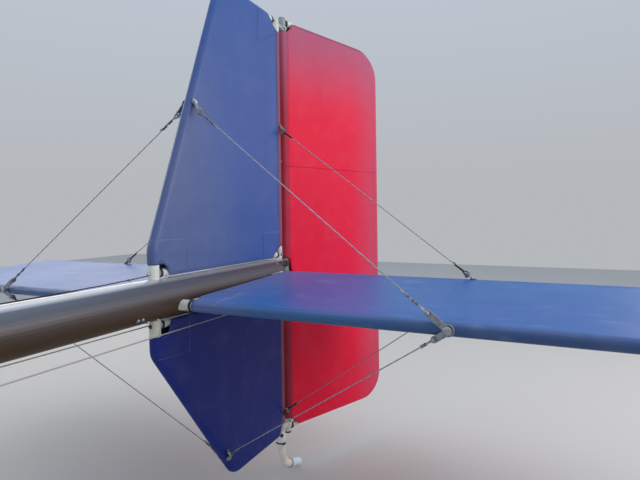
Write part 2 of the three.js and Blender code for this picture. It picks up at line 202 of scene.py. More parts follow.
# What the factory has to know of a piece: the body that it rides and the nodes it replaces
def declare(piece, body, replacing=()):
    if body:
        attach(piece, body)
    if replacing:
        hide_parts(*replacing)
    return piece


# One object from several shapes, each with its own material
def makePiece(name, parts, replacing=(), body="tail_frame"):
    sharpDegrees = 38
    mesh = bpy.data.meshes.new(name)
    points, faces, slots, materials = [], [], [], []
    for shapes, material in parts:
        if material not in materials:
            materials.append(material)
        for shape in ([shapes] if isinstance(shapes, tuple) else shapes):
            base = len(points)
            points += [Vector(p) * mm for p in shape[0]]
            faces += [tuple(base + i for i in face) for face in shape[1]]
            slots += [materials.index(material)] * len(shape[1])
    mesh.from_pydata(points, [], faces)
    for material in materials:
        mesh.materials.append(material)
    mesh.polygons.foreach_set("material_index", slots)
    mesh.polygons.foreach_set("use_smooth", [True] * len(faces))
    mesh.set_sharp_from_angle(angle=math.radians(sharpDegrees))
    mesh.update()
    return declare(addObject(name, mesh), body, replacing)


# Materials, each from its real one. A new node gives the output that is wanted, or all of them.
def addNode(tree, kind, inputs=None, give=0, **settings):
    node = tree.nodes.new(kind)
    for key, value in settings.items():
        setattr(node, key, value)
    for key, value in (inputs or {}).items():
        if isinstance(value, bpy.types.NodeSocket):
            tree.links.new(value, node.inputs[key])
        else:
            node.inputs[key].default_value = value
    return node.outputs if give is None else node.outputs[give]


def mixed(tree, share, first, second):
    return addNode(tree, "ShaderNodeMix", {0: share, 6: first, 7: second}, 2, data_type="RGBA")


def ranged(tree, value, low, high, start=0.0, end=1.0, **settings):
    inputs = {"Value": value, "From Min": low, "From Max": high, "To Min": start, "To Max": end}
    return addNode(tree, "ShaderNodeMapRange", inputs, **settings)


def bump(tree, height, distance, strength, normal=None):
    inputs = {"Height": height, "Distance": distance * mm, "Strength": strength}
    if normal is not None:
        inputs["Normal"] = normal
    return addNode(tree, "ShaderNodeBump", inputs)


def newMaterial(name, colour, roughness, metallic=0.0, **sockets):
    material = bpy.data.materials.new(name)
    material.use_nodes = True
    shader = material.node_tree.nodes["Principled BSDF"]
    sockets.update(Base_Color=linear(colour), Roughness=roughness, Metallic=metallic)
    for key, value in sockets.items():
        shader.inputs[key.replace("_", " ")].default_value = value
    return material, material.node_tree, shader


# A layer is a cloud of spots of one size in mm, stretched by its grain, that mixes a colour in by its
# strength, roughens the surface and presses it in
def layered(tree, shader, layers, base=None, normal=None):
    place = addNode(tree, "ShaderNodeTexCoord", give="Object")
    base = base or tuple(shader.inputs["Base Color"].default_value)
    smoothest, rough = shader.inputs["Roughness"].default_value, None
    for k, layer in enumerate(layers):
        spot = addNode(tree, "ShaderNodeMapping", {
            "Vector": place, "Scale": layer.get("grain", (1, 1, 1)), "Location": (2.3 * k, 1.7 * k, 0.9 * k)})
        cloud = addNode(tree, "ShaderNodeTexNoise", {
            "Vector": spot, "Scale": 1000 / layer["size"], "Detail": layer.get("detail", 4.0)})
        share = ranged(tree, cloud, *layer.get("span", (0.35, 0.7)), end=layer.get("strength", 1.0))
        if "colour" in layer:
            base = mixed(tree, share, base, linear(layer["colour"]))
        if "rougher" in layer:
            rough = ranged(tree, share, 0, 1, smoothest, smoothest + layer["rougher"])
        if "press" in layer:
            normal = bump(tree, cloud, layer["press"], 0.5, normal)
    for socket, value in (("Base Color", base), ("Roughness", rough), ("Normal", normal)):
        if isinstance(value, bpy.types.NodeSocket):
            tree.links.new(value, shader.inputs[socket])


def layeredMaterial(name, colour, roughness, metallic, *layers):
    material, tree, shader = newMaterial(name, colour, roughness, metallic)
    layered(tree, shader, layers)
    return material


# Woven polyester sailcloth, calendered: a smooth face with a soft gloss, a little faded and dusty from the
# yard. The threads are 0.5 mm apart, drawn 2 mm apart so that they show. The map is the cloth's own cut.
def sailcloth(name, colour, faded, deep, roughness, gloss, paintedLightZones=(), marks=()):
    material, tree, shader = newMaterial(name, colour, roughness, Sheen_Weight=0.05, Sheen_Roughness=0.4,
                                         Sheen_Tint=linear(faded), Specular_IOR_Level=gloss)
    cut = addNode(tree, "ShaderNodeTexCoord", give="UV")
    warp, weft = (addNode(tree, "ShaderNodeTexWave", {"Vector": cut, "Scale": 25.0}, "Fac", bands_direction=way)
                  for way in "XY")
    threads = addNode(tree, "ShaderNodeMath", {0: warp, 1: weft}, operation="MULTIPLY")
    weave = bump(tree, threads, 0.12, 0.25)
    base = tuple(shader.inputs["Base Color"].default_value)
    # A zone is painted light or shade mixed in from a line across the cut, full at "near" and gone at "away"
    for direction, near, away, shade, strength in paintedLightZones:
        along = addNode(tree, "ShaderNodeVectorMath", {0: cut, 1: (*direction, 0)}, "Value",
                        operation="DOT_PRODUCT")
        reach = ranged(tree, along, near * mm, away * mm, strength, 0.0, interpolation_type="SMOOTHSTEP")
        base = mixed(tree, reach, base, linear(shade))
    layered(tree, shader, [
        dict(size=600, detail=1.0, span=(0.3, 0.75), strength=0.35, colour=faded),
        dict(size=260, detail=3.0, span=(0.45, 0.8), strength=0.22, colour=deep, grain=(1, 1, 0.6),
             rougher=0.3),
        dict(size=60, detail=6.0, span=(0.5, 0.9), strength=0.06, colour="#b9b2a8"),
        *marks,
        dict(size=71, detail=3.0, press=3.0),
    ], base, weave)
    return material


# Aluminium tube painted off-white, rubbed and dirty round the joints
def paintedTube(name, colour, grime, roughness):
    return layeredMaterial(
        name, colour, roughness, 0.0,
        dict(size=22, detail=6.0, span=(0.5, 0.75), strength=0.45, colour=grime, rougher=0.5),
        dict(size=6, span=(0.62, 0.7), strength=0.35, colour="#8f8d88", grain=(1, 1, 0.15), press=0.15))


# Moulded nylon, pipe plastic or thread: even colour, soft gloss, weathered, with a fine uneven skin
def mouldedPlastic(name, colour, stain, roughness, skin=0.08):
    return layeredMaterial(
        name, colour, roughness, 0.0,
        dict(size=40, span=(0.42, 0.72), strength=0.6, colour=stain, rougher=0.35),
        dict(size=1.1, detail=2.0, press=skin))


# Metal fittings: plated or stainless steel, dulled, with stains where water sits
def agedMetal(name, colour, stain, roughness, share=0.5):
    return layeredMaterial(
        name, colour, roughness, 1.0,
        dict(size=9, detail=5.0, span=(0.45, 0.75), strength=share, colour=stain, rougher=0.4, press=0.08))


# Stranded steel cable: twisted strands that run slantwise round it. The piece's own map is length, turn.
def strandedSteel(name, colour, grime, pitchMm, metallic):
    material, tree, shader = newMaterial(name, colour, 0.46, metallic)
    place = addNode(tree, "ShaderNodeTexCoord", give="UV")
    slant = addNode(tree, "ShaderNodeMapping", {"Vector": place, "Scale": (1000 / pitchMm, 6.0, 1)})
    lay = addNode(tree, "ShaderNodeTexWave", {"Vector": slant, "Scale": 0.22}, "Fac",
                  bands_direction="DIAGONAL")
    tint = mixed(tree, ranged(tree, lay, 0.0, 0.45), linear(grime), linear(colour))
    layered(tree, shader, [dict(size=30, span=(0.5, 0.8), strength=0.3, colour=grime)],
            tint, bump(tree, lay, 0.35, 0.7))
    return material


# Dark anodised aluminium tube, drawn lengthwise: satin, with fine lengthwise lines and a film of dust
def darkAnodised(name, colour, above, crown, below):
    material, tree, shader = newMaterial(name, colour, 0.42, 0.8)
    place = addNode(tree, "ShaderNodeTexCoord", give="Object")
    height = addNode(tree, "ShaderNodeSeparateXYZ", {"Vector": place}, "Z")
    base = tuple(shader.inputs["Base Color"].default_value)
    # Painted light: a painted sky reflection above, a painted highlight along the crown and a painted brown
    # ground reflection below
    for low, high, shade, strength in ((8, 46, above, 0.5), (41, 49, crown, 0.8), (26, -30, below, 0.97)):
        base = mixed(tree, ranged(tree, height, low * mm, high * mm, 0.0, strength), base, linear(shade))
    layered(tree, shader, [
        dict(size=160, span=(0.35, 0.8), strength=0.3, colour="#5c6068", grain=(0.35, 1, 1), rougher=0.15),
        dict(size=9, detail=5.0, span=(0.62, 0.82), strength=0.18, colour="#8a8484", grain=(0.1, 1, 1)),
        dict(size=2.2, detail=2.0, grain=(0.02, 1, 1), press=0.04),
    ], base)
    return material


# The navy cloth greys towards the fin's front: a painted sheen of glare
navyCloth = sailcloth("navySailcloth", "#1a4c9a", "#346099", "#1a3f8a", 0.4, 0.42,
                      [((1, -0.25), 520, 150, "#6e7488", 0.5)])
# The ventral fin's cloth is the navy cloth made darker: painted shade
shadedNavyCloth = sailcloth("shadedNavySailcloth", "#1a2a7c", "#283884", "#142068", 0.5, 0.2)
# The blue cloth darkens along its leading edge, painted shade, and turns lilac near the root, a painted
# reflection of the red rudder
blueCloth = sailcloth(
    "blueSailcloth", "#0c559f", "#2f7cb4", "#0b4a8a", 0.38, 0.44,
    [((1, 0.0506), 623, 596, "#42404c", 0.55), ((0, 1), 70, 300, "#8a80b0", 0.5)],
    [dict(size=34, detail=3.0, span=(0.6, 0.78), strength=0.22, colour="#8fb4d4", grain=(1.3, 0.3, 1))])
# The red cloth darkens along its leading-edge roll and its top edge, painted shade, and turns paler towards the
# trailing edge and the top, painted glare
redCloth = sailcloth(
    "redSailcloth", "#f00036", "#e81850", "#d80230", 0.55, 0.24,
    [((1, 0), 7, 17, "#7c2f3c", 0.85), ((1, 0), 520, 320, "#b0607c", 0.7),
     ((0, 1), 905, 540, "#9c6486", 0.85), ((0.0407, 1), 897, 887, "#4c2430", 0.75)])
# The post sleeves' cloth is the red cloth made darker and duller: painted shade
shadedRedCloth = sailcloth("shadedRedPocketCloth", "#8e4a58", "#9a5e6c", "#6f3c4a", 0.6, 0.3)
tubePaint = paintedTube("offWhitePaintedTube", "#d3d7d3", "#8b867b", 0.42)
rudderPaint = paintedTube("greyGreenPaintedTube", "#87928c", "#5e4648", 0.45)
stubPlastic = mouldedPlastic("whiteNylonStub", "#dfe3dc", "#b3ac98", 0.4)
greyPlastic = mouldedPlastic("greyNylonCap", "#9fadad", "#7f8a8a", 0.45)
brownPlastic = mouldedPlastic("darkBrownHingeBlock", "#3c2a2c", "#2a1e20", 0.5)
saddlePlastic = mouldedPlastic("blackNylonSaddle", "#17181c", "#2b2c30", 0.45)
pipePlastic = mouldedPlastic("weatheredPipePlastic", "#efece4", "#cfc6b6", 0.5)
tiePlastic = mouldedPlastic("blackTiePlastic", "#121316", "#26272b", 0.5)
shoePlastic = mouldedPlastic("paleBluePipePlastic", "#dcebf6", "#b4c2cc", 0.42)
webbing = mouldedPlastic("paleNylonWebbing", "#c8c5cf", "#9c99a8", 0.7)
threadPale = mouldedPlastic("palePolyesterThread", "#8e96bd", "#7a82ad", 0.7, 0.03)
threadRed = mouldedPlastic("redPolyesterThread", "#cc5c7c", "#b04a64", 0.7, 0.03)
# The boom's last three colours are painted light: sky reflection above, highlight on the crown, brown ground
# reflection below
boomMetal = darkAnodised("darkAnodisedAluminium", "#42464f", "#747983", "#f0f1f2", "#5a4018")
tangSteel = agedMetal("platedSteelPlate", "#98a2aa", "#6c6862", 0.36)
boltSteel = agedMetal("zincPlatedBolt", "#a9adb0", "#7c6a50", 0.34, 0.4)
sleeveCopper = agedMetal("dulledCopperSleeve", "#5c4a42", "#3a2a24", 0.45)
sleeveZinc = agedMetal("zincPlatedSleeve", "#747a80", "#4c4a46", 0.4)
darkSteel = agedMetal("blackenedSteelThimble", "#26262a", "#3c332c", 0.5)
stayWire = strandedSteel("strandedStayWire", "#b2b4bd", "#74767e", 9, 0.45)
cableWire = strandedSteel("paleControlCable", "#e2e0de", "#a8a49c", 7, 0.35)
darkLine = strandedSteel("darkTopLine", "#4a484a", "#1e1d1c", 7, 0.8)
print("materials made:", len(bpy.data.materials))


# Cloth. A panel lies in its own u-v plane; its outline rolls round a tube, its openings are left with a hem.
outlineSpacing, openingSpacing, clothGrid, gridShift = 9, 5, 11, (3.1, 2.3)
clothThick, pocketThick, patchLift = 0.6, 0.4, 0.35
rollDegrees, openingDegrees = (12, 26, 42, 60, 78, 90), 15
rollMargin, openingMargin = 4, 1.6


# The loop's points at an even spacing, counterclockwise
def respaced(loop, spacing):
    points = []
    for i, start in enumerate(loop):
        run = loop[(i + 1) % len(loop)] - start
        steps = max(1, round(run.length / spacing))
        points += [tuple(start + run * k / steps) for k in range(steps)]
    points = np.array(points)
    ahead = np.roll(points, -1, axis=0)
    area = np.sum(points[:, 0] * ahead[:, 1] - ahead[:, 0] * points[:, 1])
    return points if area > 0 else points[::-1]


def edgeDistance(points, loop):
    best = np.full(len(points), 1e9)
    for start, end in zip(loop, np.roll(loop, -1, axis=0)):
        run = end - start
        share = np.clip((points - start) @ run / max(run @ run, 1e-9), 0, 1)
        best = np.minimum(best, np.hypot(*(points - start - share[:, None] * run).T))
    return best


def insideRings(loop, distances):
    run = np.roll(loop, -1, axis=0) - np.roll(loop, 1, axis=0)
    run /= np.maximum(np.hypot(*run.T), 1e-9)[:, None]
    inward = np.stack([-run[:, 1], run[:, 0]], axis=1)
    rings = [(loop + inward * distance, distance) for distance in distances]
    return np.concatenate([p[abs(edgeDistance(p, loop) - d) < 0.1] for p, d in rings])


# Triangles of the cloth inside the outline and the patch, if there is one, and outside the openings
def clothTriangles(outline, openings, patch):
    loops = [respaced(filleted(outline), outlineSpacing)]
    loops += [respaced(filleted(o, openingDegrees), openingSpacing) for o in openings]
    if patch is not None:
        loops.append(respaced(filleted(patch, openingDegrees), outlineSpacing))
    inner = [insideRings(loops[0], rollRadius * (1 - np.cos(np.radians(rollDegrees))))]
    ends = zip(loops[0].min(0), loops[0].max(0))
    us, vs = np.meshgrid(*(np.arange(low, high, clothGrid) for low, high in ends))
    field = np.stack([us.ravel(), vs.ravel()], axis=1) + gridShift
    inner.append(field[edgeDistance(field, loops[0]) > rollRadius + rollMargin])
    if patch is not None:
        inner.append(insideRings(loops[-1], [2.0]))
    inner = np.concatenate(inner)
    for loop in loops[1:]:
        inner = inner[edgeDistance(inner, loop) > openingMargin]
    points, rows = [], []
    for loop in loops:
        rows.append(list(range(len(points), len(points) + len(loop))))
        points += [Vector(p) for p in loop]
    points += [Vector(p) for p in inner]
    made = delaunay_2d_cdt(points, [], rows, 1, 0.01, True)
    wanted = {0} if patch is None else {0, len(loops) - 1}
    kept = [f for f, owners in zip(made[2], made[5]) if set(owners) == wanted]
    used = sorted({i for f in kept for i in f})
    index = {old: new for new, old in enumerate(used)}
    flat = np.array([tuple(made[0][i]) for i in used])
    return flat, np.array([[index[i] for i in f] for f in kept]), loops


class Panel:
    def __init__(self, name, outline, openings, place, thin=None, pulls=(), seed=1.0, sag=1.6):
        self.name, self.outline, self.openings, self.place = name, outline, openings, place
        self.thin, self.pulls, self.seed, self.sag = thin, pulls, seed, sag
        self.loop = respaced(filleted(outline), outlineSpacing)

    # Half the panel's thickness with its creases, at rows of (u, v), on one side
    def height(self, flat, side):
        edge = edgeDistance(flat, self.loop)
        near = np.minimum(edge, rollRadius)
        high = np.sqrt(np.maximum(rollRadius ** 2 - (rollRadius - near) ** 2, 0))
        if self.thin:
            first, last, share = self.thin
            high = high * (1 - np.clip((flat[:, 0] - first) / (last - first), 0, 1) * (1 - share))
        # Ripples of two sizes, a sag away from the edge and a fan of creases at each pull
        cloud = np.array([noise.noise(Vector((u / 150, v / 95, self.seed + 5 * side))) for u, v in flat])
        small = np.array([noise.noise(Vector((u / 46, v / 60, self.seed + 9 * side))) for u, v in flat])
        relief = (1.1 * cloud + 0.25 * small - self.sag * smooth(edge, 20, 180)) * smooth(edge, 12, 60)
        for u, v, reach, depth, folds in self.pulls:
            du, dv = flat[:, 0] - u, flat[:, 1] - v
            far = np.hypot(du, dv)
            fold = np.cos(folds * np.arctan2(dv, du) + self.seed)
            relief += depth * np.exp(-far / reach) * fold * smooth(far, 8, 30) * smooth(edge, 5, 26)
        return high + relief

    def on(self, flat, side, lift):
        flat = np.array(flat, float)
        return [self.place(u, v, side * (w + lift)) for (u, v), w in zip(flat, self.height(flat, side))]


def thicken(piece, thick):
    wall = piece.modifiers.new("cloth", "SOLIDIFY")
    wall.thickness, wall.offset = thick * mm, -1


def makeCover(panel, body, material, replacing, patchRows=()):
    points, faces, maps = [], [], []
    for patch in (None, *patchRows):
        flat, triangles, loops = clothTriangles(panel.outline, panel.openings, patch)
        rim = edgeDistance(flat, panel.loop) < 0.05
        if patch is not None:
            raised = 0.1 + patchLift * smooth(edgeDistance(flat, loops[-1]), 0, 2)
        else:
            raised = 0.0
        for side in (1, -1):
            base = len(points)
            height = np.where(rim, 0.0, panel.height(flat, side)) + raised
            points += [panel.place(u, v, side * w) for (u, v), w in zip(flat, height)]
            maps += [(u * mm, v * mm) for u, v in flat]
            corner = [points[base + i] for i in triangles[0]]
            outwards = panel.place(*flat[triangles[0][0]], side * 99) - panel.place(*flat[triangles[0][0]], 0)
            inwards = (corner[1] - corner[0]).cross(corner[2] - corner[0]).dot(outwards) < 0
            order = triangles[:, ::-1] if inwards else triangles
            faces += [tuple(int(base + i) for i in f) for f in order]
    mesh = bpy.data.meshes.new(panel.name)
    mesh.from_pydata([p * mm for p in points], [], faces)
    corners = np.zeros(len(mesh.loops), np.int32)
    mesh.loops.foreach_get("vertex_index", corners)
    mesh.uv_layers.new(name="cut").data.foreach_set("uv", np.array(maps, np.float32)[corners].ravel())
    bm = bmesh.new()
    bm.from_mesh(mesh)
    bmesh.ops.remove_doubles(bm, verts=bm.verts, dist=2e-5)
    bm.to_mesh(mesh)
    bm.free()
    mesh.polygons.foreach_set("use_smooth", [True] * len(mesh.polygons))
    mesh.materials.append(material)
    cover = declare(addObject(panel.name, mesh), body, replacing)
    thicken(cover, clothThick)
    print("cloth:", panel.name, len(mesh.polygons), "faces")


# A straight-sided patch or opening between two corners
def box(u0, v0, u1, v1):
    return [[u0, v0], [u1, v0], [u1, v1], [u0, v1]]


# Fins. The height is counted away from the boom; the cloth stops over the foot and beside the post. A pull is
# a fan of creases: its place, reach, depth and number of folds.
finPlan = {
    "upper_fin": {
        "up": 1, "low": [667, 127, 60], "high": [371, 892, 45], "footTop": 87, "tip": [[152, 914], [71, 846]],
        "patches": [[[540, 40], [540, 147, 12], [720, 150], [720, 40]],
                    [[171, 40], [171, 149, 8], [30, 149], [30, 40]],
                    [[181, 769, 8], [85, 822], [30, 838], [30, 940], [181, 940]]],
        "pulls": [[503, 509, 60, 0.9, 5], [66, 520, 50, 0.8, 4], [640, 100, 60, 0.9, 6], [80, 95, 50, 0.8, 5]],
        "seed": 2.3, "cloth": navyCloth,
    },
    "ventral_fin": {
        "up": -1, "low": [667, 143, 60], "high": [354, 596, 62], "footTop": 92, "tip": [[100, 619], [66, 556]],
        "patches": [[[541, 40], [541, 159, 12], [720, 152], [720, 40]],
                    [[172, 660], [172, 490, 10], [30, 486], [30, 660]]],
        "pulls": [[388, 522, 60, 0.9, 5], [66, 521, 50, 0.8, 4], [640, 110, 60, 0.9, 6], [80, 95, 50, 0.8, 5]],
        "seed": 6.1, "cloth": shadedNavyCloth,
    },
}
panels = {}
for name, plan in finPlan.items():
    up, low, high, footTop = plan["up"], plan["low"], plan["high"], plan["footTop"]
    top = high[1]
    outline = [[postAhead, 30], [667, 30], low, high, [postAhead, top]]
    (tipAhead, tipTop), (notchAhead, notchTop) = plan["tip"]
    openings = [
        box(-20, -20, 612, 56),
        [[610, -20], [740, -20], [740, footTop], [627, footTop, 18], [611, 62, 6]],
        [[-20, -20], [106, -20], [106, 60, 10], [60, 97], [-20, 97]],
        box(-20, -30, 60.6, top + 60),
        [[-20, notchTop], [notchAhead, notchTop, 5], [tipAhead, tipTop],
         [tipAhead, top + 60], [-20, top + 60]],
    ]
    panels[name] = Panel(f"{name}_sailcloth", outline, openings,
                         lambda u, v, w, up=up: at(u, w, up * v), pulls=plan["pulls"], seed=plan["seed"])
    makeCover(panels[name], "tail_frame", plan["cloth"], [f"{name}_cover"],
              plan["patches"])

# Stabilisers: a plan of [ahead, y, fillet], sloping down from the spar to the nose
wing = {"rootAhead": 605, "tipAhead": 549, "rootZ": -18, "tipZ": -31, "rootY": 84}


def noseAt(y):
    share = (abs(y) - wing["rootY"]) / (spanHalf - wing["rootY"])
    return at(wing["rootAhead"] + share * (wing["tipAhead"] - wing["rootAhead"]), y,
              wing["rootZ"] + share * (wing["tipZ"] - wing["rootZ"]))


def onWing(ahead, y, w, out):
    nose = noseAt(y)
    share = (ahead - sparAhead) / (nose.x - hingeX - sparAhead)
    return at(ahead, out * y, w + share * nose.z)


wingOutline = [[100.8, 56], [620.3, 56], [563.2, spanHalf, 80], [100.8, spanHalf, 30]]
wingOpening = [[524, 30], [532, 57], [549, 66, 4], [561, 68, 3], [588, 85, 5], [660, 84], [660, 30]]
wingPulls = [[573, 700, 70, 0.9, 5], [130, 683, 50, 0.6, 5], [560, 80, 90, 1.0, 6], [120, 84, 60, 0.7, 5]]
wingPatch = [[481, 20], [481, 149, 10], [624, 161], [700, 168], [700, 20]]
for side, out in sides.items():
    panels[side] = Panel(f"stabiliser_sailcloth_{side}", wingOutline, [wingOpening],
                         lambda u, v, w, out=out: onWing(u, v, w, out), pulls=wingPulls, seed=3.7 + out)
    makeCover(panels[side], "tail_frame", blueCloth, [f"stabiliser_cover_{side}"],
              [wingPatch])

# Rudder: [aft, height, fillet] from the hinge line, thinner towards its trailing edge
trailShare = 9 / rollRadius
rudderTop, rudderBottom = 903, -593
rudderOutline = [[-rollRadius, rudderBottom], [520, rudderBottom, 105], [502, rudderTop - 21, 120],
                 [-rollRadius, rudderTop]]
rudderOpenings = [
    [[-40, 49], [-6, 48, 4], [9, 44, 8], [21, -4, 10], [29, -30, 14], [29, -78, 18], [12, -96, 8], [-40, -97]],
    [[-40, 862], [14, 863, 10], [30, 880, 12], [42, 905], [42, 960], [-40, 960]],
    [[-40, -549], [1, -552, 10], [31, -573, 10], [57, -598], [57, -700], [-40, -700]],
]
rudderPulls = [[20, 400, 80, 0.6, 4], [40, 40, 70, 0.9, 5], [40, -90, 70, 0.9, 5], [30, 850, 60, 0.8, 5],
               [30, -550, 60, 0.8, 5], [420, 800, 90, 0.7, 4]]
panels["rudder"] = Panel("rudder_sailcloth", rudderOutline, rudderOpenings, onRudder,
                         thin=(40, 482, trailShare), pulls=rudderPulls, seed=8.2, sag=1.2)
makeCover(panels["rudder"], "rudder", redCloth, ["rudder_cover"],
          [[[-40, 382], [-40, 406], [560, 405], [560, 381]]])

# Elevators: [aft, y, fillet] from their tube
elevatorOutline = [[-rollRadius, 100], [26, 100], [372, 225, 30], [372, spanHalf, 70],
                   [-rollRadius, spanHalf]]
elevatorOpenings = [[[-40, 589], [29, 589, 8], [29, 611, 8], [-40, 611]],
                    [[-40, 1157], [29, 1157, 8], [29, 1240], [-40, 1240]]]
for side, out in sides.items():
    panel = panels["elevator_" + side] = Panel(
        f"elevator_sailcloth_{side}", elevatorOutline, elevatorOpenings,
        lambda u, v, w, out=out: onElevator(u, out * v, w), thin=(40, 352, trailShare),
        pulls=[[30, 600, 60, 0.8, 5], [60, 130, 60, 0.8, 5]], seed=5.5 + out, sag=1.0)
    makeCover(panel, "elevators", blueCloth, [f"elevator_cover_{side}"])

# Sleeves of the same red cloth, made darker as painted shade: each runs round the back of a fin's rear post
# into the fin's own cloth
sleeveRadius, sleeveFront, sleeveFrontHalf = 13.35, 60.4, 14.0


def sleeveSection(radius):
    lead = sleeveFront - postAhead
    half = [(lead * (1 - k / 3), sleeveFrontHalf + (radius - sleeveFrontHalf) * k / 3) for k in range(3)]
    back = [(-radius * math.sin(a), radius * math.cos(a)) for a in np.linspace(0, math.pi, 19)]
    return half + back + [(u, -v) for u, v in reversed(half)]


for name, post, z0, z1 in (("upper", "upper_fin_post", 95, 845), ("lower", "ventral_fin_post", -95, -553)):
    rows, points, faces = 60, [], []
    for k in range(rows + 1):
        section = sleeveSection(sleeveRadius + 0.16 * math.sin(k * 1.3) * math.sin(k * 0.31))
        points += [at(postAhead + u, v, z0 + (z1 - z0) * k / rows) for u, v in section]
    count = len(section)
    for k in range(rows):
        for m in range(count - 1):
            face = (k * count + m, k * count + m + 1, (k + 1) * count + m + 1, (k + 1) * count + m)
            faces.append(face if name == "upper" else face[::-1])
    sleeve = makePiece(f"post_sleeve_{name}", [((points, faces), shadedRedCloth)])
    thicken(sleeve, pocketThick)


# Fittings as (shapes, finish): a bolt's head on its washer, a nut with the shank's end, a ring
def hexBolt(place, axis, across, height, washer, finish=boltSteel):
    r, brim = across / 2 / math.cos(math.pi / 6), washer / 2
    return [
        turned([[0, brim], [1.0, brim], [1.4, brim - 0.5]], place, axis),
        turned([[1.2, r], [height - 0.9, r], [height, r * 0.84]], place, axis, around=6),
    ], finish


def hexNut(place, axis, across, height, shank):
    r, brim, end = across / 2 / math.cos(math.pi / 6), across / 2 + 2.4, height + shank
    return [
        turned([[0, brim], [1.0, brim]], place, axis),
        turned([[1.0, r], [height - 0.7, r], [height, r * 0.86]], place, axis, around=6),
        turned([[height - 0.5, 3.0], [end - 0.6, 3.0], [end, 2.3]], place, axis, around=12),
    ], boltSteel


def saddleRing(place, axis, inner, length=7, wall=1.9, finish=saddlePlastic):
    outer = inner + wall
    return turned([[0, inner], [0, outer - 0.5], [0.5, outer], [length - 0.5, outer], [length, outer - 0.5],
                   [length, inner]], place, axis, ring=True), finish


makePiece("post_sleeve_bolt", [hexBolt(at(postAhead - 5, 12.8, 395), (-0.36, 0.93, 0), 5, 3, 7)])

# Saddles and bolts on the fins' root tubes
for name, up, finish in (("upper_fin", 1, boltSteel), ("ventral_fin", -1, sleeveCopper)):
    z = 65 * up
    makePiece(f"{name}_root_saddles", [
        saddleRing(at(631, 0, z), forward, 11.2),
        saddleRing(at(64, 0, z), forward, 11.2, 6),
        hexBolt(at(653 + rollRadius, 0, z), forward, 7, 4.5, 10, finish),
        *(hexBolt(at(postAhead, 12.6 * k, z), toPort * k, 7, 4, 11) for k in (1, -1)),
    ])

# Tubes inside the covers' edges show where the cloth is cut back at the corners
for name, start, end, radius, saddleBack in (("upper", at(180, 0, 876), at(64, 0, 877), 12, 20),
                                             ("lower", at(170, 0, -582), at(66, 0, -583), 11, 24)):
    run, length = (end - start).normalized(), (end - start).length
    parts = [
        (turned([[0, radius], [length - 1.5, radius], [length, radius - 1.5]], start, run), stubPlastic),
        saddleRing(end - run * saddleBack, run, radius + 0.2),
        hexBolt(end - run * 8 + toPort * (radius - 0.4), toPort, 6, 3, 8),
    ]
    if name == "upper":
        # A saddle block carries the tube's end on the post
        block = sweep([at(76, 0, 866), at(69, 0, 864), at(60.5, 0, 858)], [6.5, 9, 9.5], 20)
        parts.append((block, stubPlastic))
    makePiece(f"fin_corner_tube_{name}", parts)

for name, route, radii, (aft, z, inner, wall) in (
        ("top", [(41.9, 894), (54, 889.5), (110, 884)], [10.4, 9, 8.6], (12.9, 894, 10.7, 2.2)),
        ("bottom", [(38.9, -585.8), (110, -577)], [8.8, 8.4], (12.9, -586, 9.2, 4.6))):
    makePiece(f"rudder_corner_tube_{name}", [
        (sweep([onRudder(*p) for p in route], radii, 24), stubPlastic),
        saddleRing(onRudder(aft, z), onRudder(1, 0) - onRudder(0, 0), inner, 6, wall),
    ], body="rudder")

# The rudder tube's ends: a grey cap over the top, a pale sleeve and a low dark cap below
makePiece("rudder_tube_caps", [
    (turned([[881.2, 13.0], [881.8, 13.4], [903, 13.4], [906.5, 12.6], [909, 10.4], [910.4, 6.4], [910.8, 0]],
            at(0), upward, 36), greyPlastic),
    (turned([[585.5, 13.05], [603, 13.05]], at(0), -upward, 36), stubPlastic),
    (turned([[603, 13.2], [607, 13.2], [609.6, 12.0], [611, 8], [611.3, 0]], at(0), -upward, 36),
     saddlePlastic),
], body="rudder")

# Stabilisers' roots: a bare bit of root tube behind the white nose socket, with its bolt and saddle
for side, out in sides.items():
    nose = noseAt(wing["rootY"])
    socketEnd = Vector((nose.x, out * (wing["rootY"] - 1), nose.z))
    tube = [at(603, out * 66, wing["rootZ"] * 0.97), at(470, out * 71, wing["rootZ"] * 0.7)]
    makePiece(f"stabiliser_root_tube_{side}", [
        (sweep(tube, 11.2, 24), tubePaint),
        saddleRing(socketEnd - toPort * out * 7, toPort * out, 13.9),
        hexBolt(at(612.4, out * 67.9, -27.6), (0.57, 0, -0.82), 7, 4, 10),
    ])

# Small bolts through the boom, by the feet and by the spar: [ahead, degrees from the top]
parts = []
for ahead, degrees in ((744, 128), (730, 128), (700, 152), (668, 152), (115, 40), (115, 140)):
    turn = math.radians(degrees)
    for out in (1, -1):
        outwards = Vector((0, out * math.sin(turn), math.cos(turn)))
        parts.append(hexBolt(at(ahead) + outwards * boomSurface, outwards, 6, 3.5, 10))
makePiece("boom_bolts", parts)

# Pale cords in the hems at each stabiliser's root and under the boom
for side, out in sides.items():
    route = [onWing(ahead, 57.2, 13.6, out) for ahead in np.linspace(190, 124, 10)]
    makePiece(f"root_cord_{side}", [(sweep(route, 1.0, 8), webbing)])
routes = [[at(650, 14 * k, -50.4), at(600, 14 * k, -51.4), at(548, 14 * k, -52.6)] for k in (1, -1)]
makePiece("ventral_hem_cords", [(sweep(route, 1.2, 8), webbing) for route in routes])

